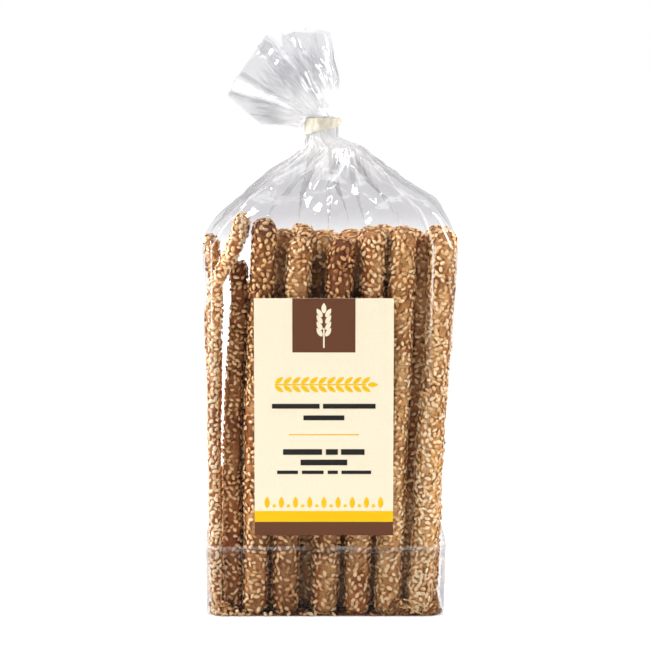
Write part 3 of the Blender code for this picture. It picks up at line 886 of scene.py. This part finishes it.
def seal_haze_and_highlight(place):
    """How whitish the doubled film is: a patchy band of haze under its sealed edge, and a painted highlight along the
    edge itself.
    """
    band = smoothstep((place.z - FOLD_TOP) / (7 * MM) + 1) * max(0.0, noise.noise(place * 45)) * 0.35
    edge = 0.3 + 0.45 * noise.noise(place * 60) if place.z > FOLD_TOP - 1.2 * MM else 0.0
    return max(band, edge)


seam = base.data.attributes.new("haze_and_highlight", "FLOAT", "POINT")
seam.data.foreach_set("value", [seal_haze_and_highlight(corner.co) for corner in base.data.vertices])
activate(base)
bpy.ops.object.shade_smooth_by_angle(angle=math.radians(35))
base.data.materials.clear()
base.data.materials.append(clear)
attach(base, "root")

# ---------------------------------------------------------------------------------------------
# Band. Cream waxed-paper tape, 7 mm wide, wound once and a bit round the gathered neck. It dents
# over the pleats, its lower edge runs up to the right, and its loose end stands off a little.
# ---------------------------------------------------------------------------------------------
TAPE_COLUMNS, TAPE_ROWS = 110, 10
TAPE_TURNS = 1.16
TAPE_START = math.radians(-62)
TAPE_THICKNESS = 0.15 * MM
TAPE_HALF_WIDTH, TAPE_HALF_DEPTH = 7.9 * MM, 6.6 * MM
TAPE_SLANT = 2.0 * MM
TAPE_LOW, TAPE_HIGH = NECK_Z + 1.2 * MM, NECK_Z + 8.6 * MM

deselect_all()
bpy.ops.mesh.primitive_grid_add(x_subdivisions=TAPE_COLUMNS, y_subdivisions=TAPE_ROWS, size=1)
tape = bpy.context.object
tape.name = tape.data.name = "neck_tape"
for corner in tape.data.vertices:
    along, up = corner.co.x + 0.5, corner.co.y + 0.5
    turn = TAPE_START + 2 * math.pi * TAPE_TURNS * along
    wound = max(0.0, along - 1 / TAPE_TURNS) * 2.0 * MM  # the second turn lies on the first
    stands_off = max(0.0, (along - 0.975) / 0.025) ** 2 * 0.7 * MM
    dent = noise.noise(Vector((math.cos(turn) * 2.6, math.sin(turn) * 2.6, up * 0.7))) * 0.55 * MM
    fold = noise.noise(Vector((math.cos(turn) * 6.0, math.sin(turn) * 6.0, up * 1.6 + 4))) * 0.30 * MM
    out = wound + stands_off + dent + fold
    low = TAPE_LOW + (1 + math.cos(turn)) * TAPE_SLANT
    corner.co = Vector((
        NECK_X + (TAPE_HALF_WIDTH + out) * math.cos(turn),
        FILM_Y + (TAPE_HALF_DEPTH + out) * math.sin(turn),
        low + (TAPE_HIGH - low) * up + 0.25 * MM * math.sin(3 * turn + 1),
    ))
activate(tape)
bpy.ops.object.mode_set(mode="EDIT")
bpy.ops.mesh.select_all(action="SELECT")
bpy.ops.mesh.normals_make_consistent(inside=False)
bpy.ops.object.mode_set(mode="OBJECT")
bpy.ops.object.modifier_add(type="SOLIDIFY")
tape.modifiers[-1].thickness = TAPE_THICKNESS
tape.modifiers[-1].offset = 1.0
bpy.ops.object.modifier_apply(modifier=tape.modifiers[-1].name)
bpy.ops.object.shade_smooth_by_angle(angle=math.radians(50))

# Waxed paper: cream, satin, and thin enough to let some light and the pleats show through.
waxed, tree = new_material("waxed_paper_tape")
coords = node(tree, "TexCoord").outputs["Object"]
fibres = node(tree, "TexNoise", {"Vector": coords, "Scale": 500.0, "Detail": 3.0}).outputs["Fac"]
tint = ramp(tree, fibres, [(0.35, "#e0dac9"), (0.65, "#f3eee1")])
bump = node(tree, "Bump", {"Height": fibres, "Strength": 0.3, "Distance": 0.0002}).outputs["Normal"]
front = node(tree, "BsdfPrincipled", {"Base Color": tint, "Roughness": 0.38, "IOR": 1.45, "Normal": bump})
through = node(tree, "BsdfTranslucent", {"Color": tint, "Normal": bump}).outputs["BSDF"]
surface = node(tree, "MixShader", {0: 0.35, 1: front.outputs["BSDF"], 2: through}).outputs["Shader"]
clear_part = node(tree, "BsdfTransparent", {"Color": linear("#f4f0e4")}).outputs["BSDF"]
whole = node(tree, "MixShader", {0: 0.12, 1: surface, 2: clear_part}).outputs["Shader"]
node(tree, "OutputMaterial", {"Surface": whole})
tape.data.materials.clear()
tape.data.materials.append(waxed)
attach(tape, "root")
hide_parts("band")

# ---------------------------------------------------------------------------------------------
# Label. Cream uncoated paper, 62 by 108 mm, glued to the front of the film; its sheet is the CAD
# node. It is printed in three inks with plain fields, bars in place of lines of words, a wheat
# ear, a sprig and a row of grains. The ink stands just proud of the paper.
# ---------------------------------------------------------------------------------------------
label_low, label_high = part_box("label")
LABEL_MIDDLE = (label_low.x + label_high.x) / 2
INK_THICKNESS = 0.04 * MM
CREAM, YELLOW, BROWN, NEAR_BLACK = "#e9ddc2", "#e9b900", "#663e29", "#292724"


def add_bar(x, z, width, height, layer=0):
    """A field of ink; x from the label's middle and z from its foot, both in mm, to the field's middle."""
    deselect_all()
    place = Vector((LABEL_MIDDLE + x * MM, label_low.y - INK_THICKNESS * (layer + 0.5), label_low.z + z * MM))
    bpy.ops.mesh.primitive_cube_add(size=1, location=place)
    bar = bpy.context.object
    bpy.ops.object.transform_apply(location=True)
    bpy.ops.object.mode_set(mode="EDIT")
    bpy.ops.transform.resize(value=(width * MM, INK_THICKNESS, height * MM))
    bpy.ops.object.mode_set(mode="OBJECT")
    return bar


def add_grain(x, z, length, width, lean, layer=0):
    """A printed grain, pointed at its top and leaning this many degrees to the right."""
    deselect_all()
    place = Vector((LABEL_MIDDLE + x * MM, label_low.y - INK_THICKNESS * (layer + 0.5), label_low.z + z * MM))
    bpy.ops.mesh.primitive_cylinder_add(vertices=20, radius=0.5, depth=INK_THICKNESS, rotation=(math.pi / 2, 0, 0))
    grain = bpy.context.object
    bpy.ops.object.transform_apply(rotation=True)
    turn = math.radians(lean)
    for corner in grain.data.vertices:
        narrow = 1 - max(0.0, corner.co.z * 2) ** 1.6 * 0.55
        across, up = corner.co.x * width * narrow * MM, corner.co.z * length * MM
        corner.co = place + Vector((across * math.cos(turn) + up * math.sin(turn), corner.co.y,
                                    up * math.cos(turn) - across * math.sin(turn)))
    return grain


def print_ink(name, colour, shapes):
    """Joins shapes into one piece in this ink: offset ink, dry and matt, a little uneven on the paper's fibres."""
    deselect_all()
    for shape in shapes:
        shape.select_set(True)
    bpy.context.view_layer.objects.active = shapes[0]
    bpy.ops.object.join()
    printed = bpy.context.object
    printed.name = printed.data.name = name
    ink, tree = new_material("offset_ink_" + name.rsplit("_", 1)[-1])
    coords = node(tree, "TexCoord").outputs["Object"]
    mottle = node(tree, "TexNoise", {"Vector": coords, "Scale": 700.0, "Detail": 3.0}).outputs["Fac"]
    wear = node(tree, "MapRange", {"Value": mottle, "To Min": 0.97, "To Max": 1.03}).outputs["Result"]
    tint = node(tree, "MixRGB", {"Fac": 1.0, "Color1": linear(colour), "Color2": wear}, blend_type="MULTIPLY")
    bump = node(tree, "Bump", {"Height": mottle, "Strength": 0.1, "Distance": 0.0001}).outputs["Normal"]
    surface = node(tree, "BsdfPrincipled", {"Base Color": tint.outputs["Color"], "Roughness": 0.6, "IOR": 1.48,
                                            "Specular IOR Level": 0.2, "Normal": bump})
    node(tree, "OutputMaterial", {"Surface": surface.outputs["BSDF"]})
    printed.data.materials.clear()
    printed.data.materials.append(ink)
    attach(printed, "root")
    return printed


label_width = (label_high.x - label_low.x) / MM
label_height = (label_high.z - label_low.z) / MM
print_ink("label_print_brown", BROWN, [
    add_bar(0, label_height - 12.2, 28.2, 24.4),
    add_bar(0, 3.1, label_width, 6.2),
])
yellow = [add_bar(0, 8.7, label_width, 5.0), add_bar(0, 46.2, 31.5, 0.5)]
# The sprig: a stem with a grain above and below it at every step.
yellow.append(add_bar(-1.5, 69.0, 41.0, 0.7))
for step in range(11):
    x = -20 + step * 3.9
    yellow.append(add_grain(x, 71.0, 4.6, 2.0, 52))
    yellow.append(add_grain(x, 67.0, 4.6, 2.0, 128))
yellow.append(add_grain(22.0, 69.0, 4.6, 2.2, 90))
for step in range(9):
    x = (step - 4) * 6.4
    yellow.append(add_grain(x, 15.2, 5.2, 2.4, 0))
for step in range(8):
    yellow.append(add_grain((step - 3.5) * 6.4, 13.6, 1.6, 1.6, 0))
print_ink("label_print_yellow", YELLOW, yellow)
# Bars of the length of words, as (x of its middle, z, length, height).
BARS = ((-12.6, 59.2, 21.4, 2.2), (11.4, 59.2, 23.6, 2.2), (0.0, 53.9, 18.4, 2.2), (-9.6, 38.3, 17.6, 2.6),
        (3.6, 38.3, 5.4, 2.6), (13.0, 38.3, 10.6, 2.6), (0.0, 33.5, 21.0, 2.6), (-16.4, 29.0, 9.4, 1.6),
        (-5.0, 29.0, 9.8, 1.6), (4.0, 29.0, 4.6, 1.6), (14.6, 29.0, 13.4, 1.6))
print_ink("label_print_dark", NEAR_BLACK, [add_bar(*bar) for bar in BARS])
ear_z = label_height - 12.6
ear = [add_bar(0, ear_z - 5.2, 0.7, 9.0, 1), add_grain(0, ear_z + 8.2, 4.6, 2.3, 0, 1)]
for step in range(4):
    for side in (-1, 1):
        ear.append(add_grain(side * 2.0, ear_z - 2.6 + step * 2.9, 4.4, 2.1, side * 32, 1))
print_ink("label_print_cream", CREAM, ear)

# Uncoated label paper: matt, with fine fibres and a slight unevenness.
paper_sheet, tree = new_material("uncoated_label_paper")
coords = node(tree, "TexCoord").outputs["Object"]
fibres = node(tree, "TexNoise", {"Vector": coords, "Scale": 900.0, "Detail": 4.0}).outputs["Fac"]
tint = ramp(tree, fibres, [(0.3, "#e9ddc2"), (0.7, "#ece1c7")])
bump = node(tree, "Bump", {"Height": fibres, "Strength": 0.12, "Distance": 0.0001}).outputs["Normal"]
surface = node(tree, "BsdfPrincipled", {"Base Color": tint, "Roughness": 0.65, "IOR": 1.5, "Specular IOR Level": 0.2,
                                        "Normal": bump})
node(tree, "OutputMaterial", {"Surface": surface.outputs["BSDF"]})
for slot_of_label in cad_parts["label"].material_slots:
    slot_of_label.material = paper_sheet

# ---------------------------------------------------------------------------------------------
# Floor, lights and camera.
# ---------------------------------------------------------------------------------------------
deselect_all()
bpy.ops.mesh.primitive_plane_add(size=8.0)
floor = bpy.context.object
floor.name = "floor"
paper, tree = new_material("white_studio_paper")
surface = node(tree, "BsdfDiffuse", {"Color": linear("#f4f4f4")}).outputs["BSDF"]
glow = node(tree, "Emission", {"Color": (1, 1, 1, 1), "Strength": 1.0}).outputs["Emission"]
lit = node(tree, "AddShader", {0: surface, 1: glow}).outputs["Shader"]
seen = node(tree, "LightPath").outputs["Is Camera Ray"]
shown = node(tree, "MixShader", {0: seen, 1: surface, 2: lit}).outputs["Shader"]
node(tree, "OutputMaterial", {"Surface": shown})
floor.data.materials.append(paper)
floor.visible_glossy = False
floor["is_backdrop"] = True

world = bpy.data.worlds.new("studio")
bpy.context.scene.world = world
world.use_nodes = True
world.node_tree.nodes.clear()
tree = world.node_tree
way = node(tree, "TexCoord").outputs["Generated"]
behind = node(tree, "SeparateXYZ", {"Vector": way}).outputs["Y"]
backdrop = node(tree, "MapRange", {"Value": behind, "From Min": -0.4, "From Max": 0.35, "To Min": 0.03, "To Max": 0.75})
path = node(tree, "LightPath").outputs
dim = node(tree, "Background", {"Color": (1, 1, 1, 1), "Strength": 0.02}).outputs["Background"]
mirrored = node(tree, "Background", {"Color": (1, 1, 1, 1), "Strength": backdrop.outputs["Result"]}).outputs["Background"]
white = node(tree, "Background", {"Color": (1, 1, 1, 1), "Strength": 1.0}).outputs["Background"]
glossy = node(tree, "MixShader", {0: path["Is Glossy Ray"], 1: dim, 2: mirrored}).outputs["Shader"]
mixed = node(tree, "MixShader", {0: path["Is Camera Ray"], 1: glossy, 2: white}).outputs["Shader"]
node(tree, "OutputWorld", {"Surface": mixed})

AIM = Vector((-2.3, 0.0, 130.0)) * MM


def softbox(name, azimuth, elevation, distance, width, height, power):
    """A rectangular area light that faces the pack; azimuth 0 is the front, negative is to the left."""
    lamp = bpy.data.lights.new(name, "AREA")
    lamp.shape = "RECTANGLE"
    lamp.size, lamp.size_y = width, height
    lamp.energy = power
    holder = bpy.data.objects.new(name, lamp)
    bpy.context.scene.collection.objects.link(holder)
    turn, rise = math.radians(azimuth), math.radians(elevation)
    towards = Vector((math.sin(turn) * math.cos(rise), -math.cos(turn) * math.cos(rise), math.sin(rise)))
    holder.location = AIM + towards * distance
    holder.rotation_mode = "QUATERNION"
    holder.rotation_quaternion = towards.to_track_quat("Z", "Y")
    return holder


softbox("softbox_left", -81, 28, 1.0, 0.32, 0.6, 22.0)
softbox("softbox_right", 78, 28, 1.0, 0.32, 0.6, 13.0)
softbox("fill_front", 0, 40, 1.6, 0.9, 0.5, 0.5).visible_glossy = False
softbox("fill_back", 180, 25, 1.4, 0.9, 0.7, 5.4).visible_glossy = False
softbox("top_light", 180, 72, 1.3, 1.2, 0.9, 9.0)

CAMERA_DISTANCE = 1.1
CAMERA_ELEVATION = math.radians(8.0)
camera = bpy.data.objects.new("camera", bpy.data.cameras.new("camera"))
bpy.context.scene.collection.objects.link(camera)
camera.data.sensor_width = 36.0
camera.data.lens = 132.5
towards = Vector((0, -math.cos(CAMERA_ELEVATION), math.sin(CAMERA_ELEVATION)))
camera.location = AIM + towards * CAMERA_DISTANCE
camera.rotation_mode = "QUATERNION"
camera.rotation_quaternion = towards.to_track_quat("Z", "Y")
bpy.context.scene.camera = camera
bpy.context.scene.view_settings.view_transform = "Standard"
bpy.context.scene.cycles.transparent_max_bounces = 48


low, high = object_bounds()
